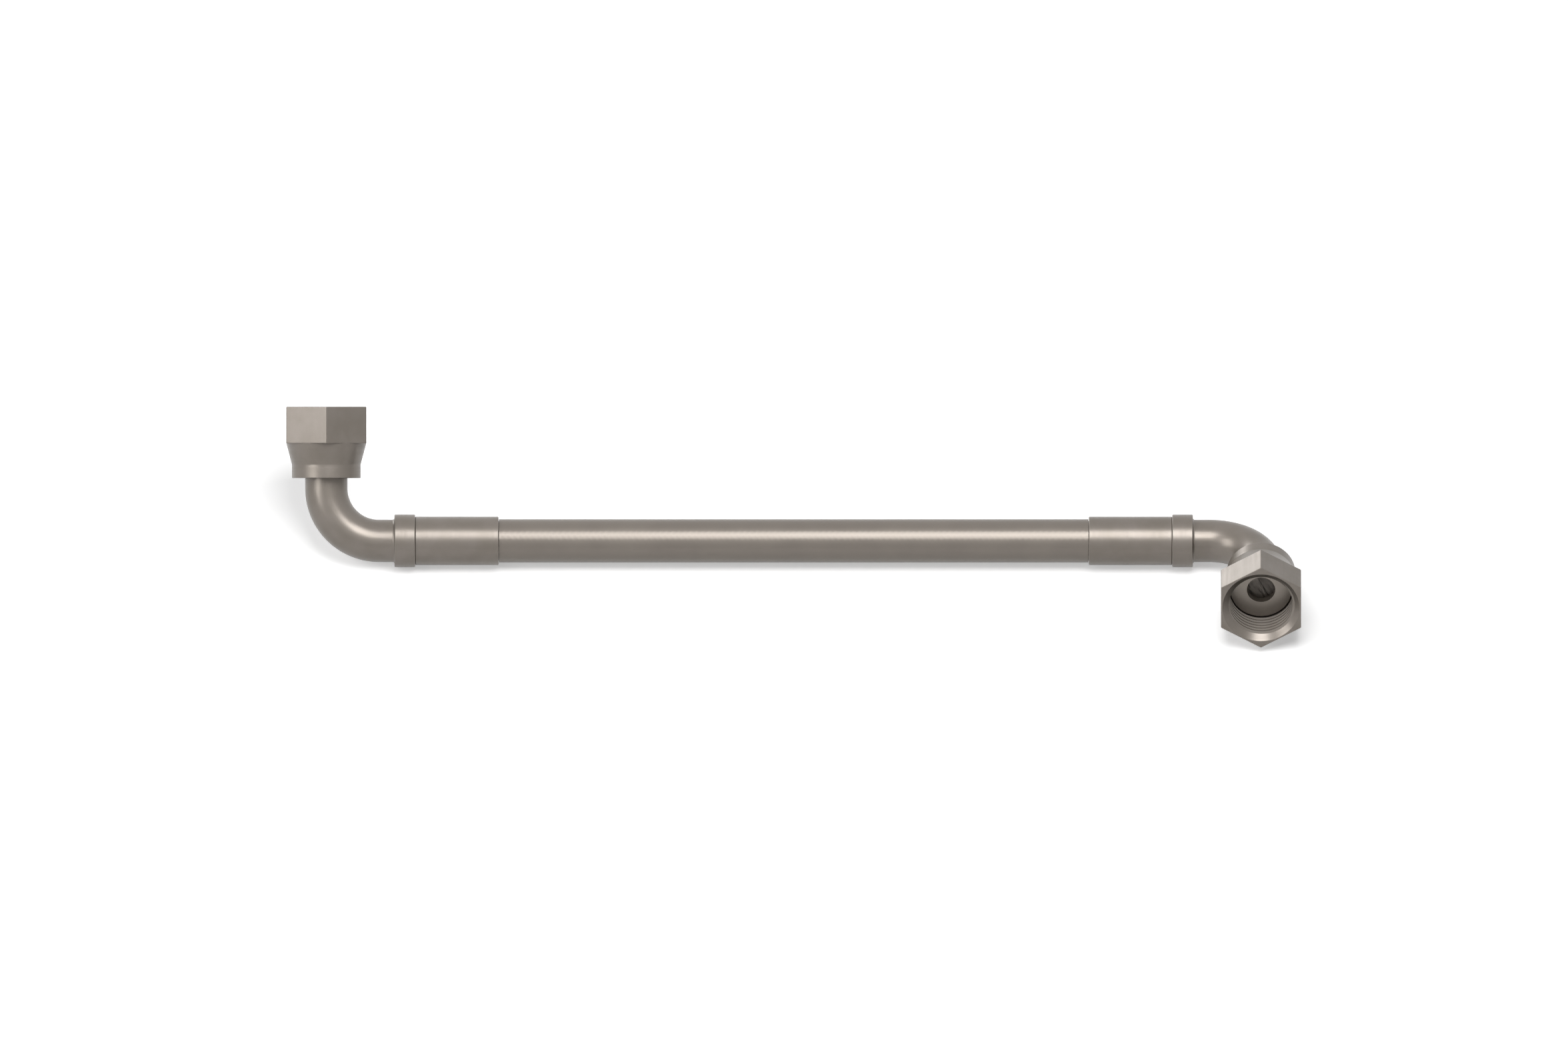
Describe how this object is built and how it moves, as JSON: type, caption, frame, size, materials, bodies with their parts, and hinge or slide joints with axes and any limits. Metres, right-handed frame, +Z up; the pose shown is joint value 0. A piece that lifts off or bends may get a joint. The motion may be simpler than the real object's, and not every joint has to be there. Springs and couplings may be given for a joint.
{
  "type": "flexible hose",
  "caption": "Straight flexible pressure hose with a bent-tube elbow and a swivelling hexagon nut on each end, the elbows turned apart about the hose.",
  "frame": {"origin": "bottom centre of the bounding box, on the floor that the part rests on", "axes": "+X along the hose from the left-hand elbow to the right-hand one, +Z up, -Y towards the right-hand nut's mouth"},
  "size_m": [0.304, 0.079, 0.0473],
  "materials": {
    "plated_steel": "satin zinc-nickel plating, warm grey",
    "hose_cover": "smooth satin, warm grey",
    "braid_wire": "bright drawn wire",
    "hose_liner": "smooth black"
  },
  "bodies": {
    "hose_and_elbows": {"hose_liner": "hose_liner", "hose_braid": "braid_wire", "hose_cover": "hose_cover", "left_stem": "plated_steel", "left_ferrule": "plated_steel", "left_elbow_tube": "plated_steel", "left_seal_head": "plated_steel", "right_stem": "plated_steel", "right_ferrule": "plated_steel", "right_elbow_tube": "plated_steel", "right_seal_head": "plated_steel"},
    "left_nut": {"left_swivel_nut": "plated_steel"},
    "right_nut": {"right_swivel_nut": "plated_steel"}
  },
  "joints": [
    {"name": "left_nut_swivel", "type": "hinge", "parent": "hose_and_elbows", "child": "left_nut", "pos_m": [-0.14, 0.02192, 0.02993], "axis": [0, 0.6592, 0.752], "continuous": true},
    {"name": "right_nut_swivel", "type": "hinge", "parent": "hose_and_elbows", "child": "right_nut", "pos_m": [0.14, -0.02613, 0.01361], "axis": [0, -0.9808, 0.1949], "continuous": true}
  ]
}
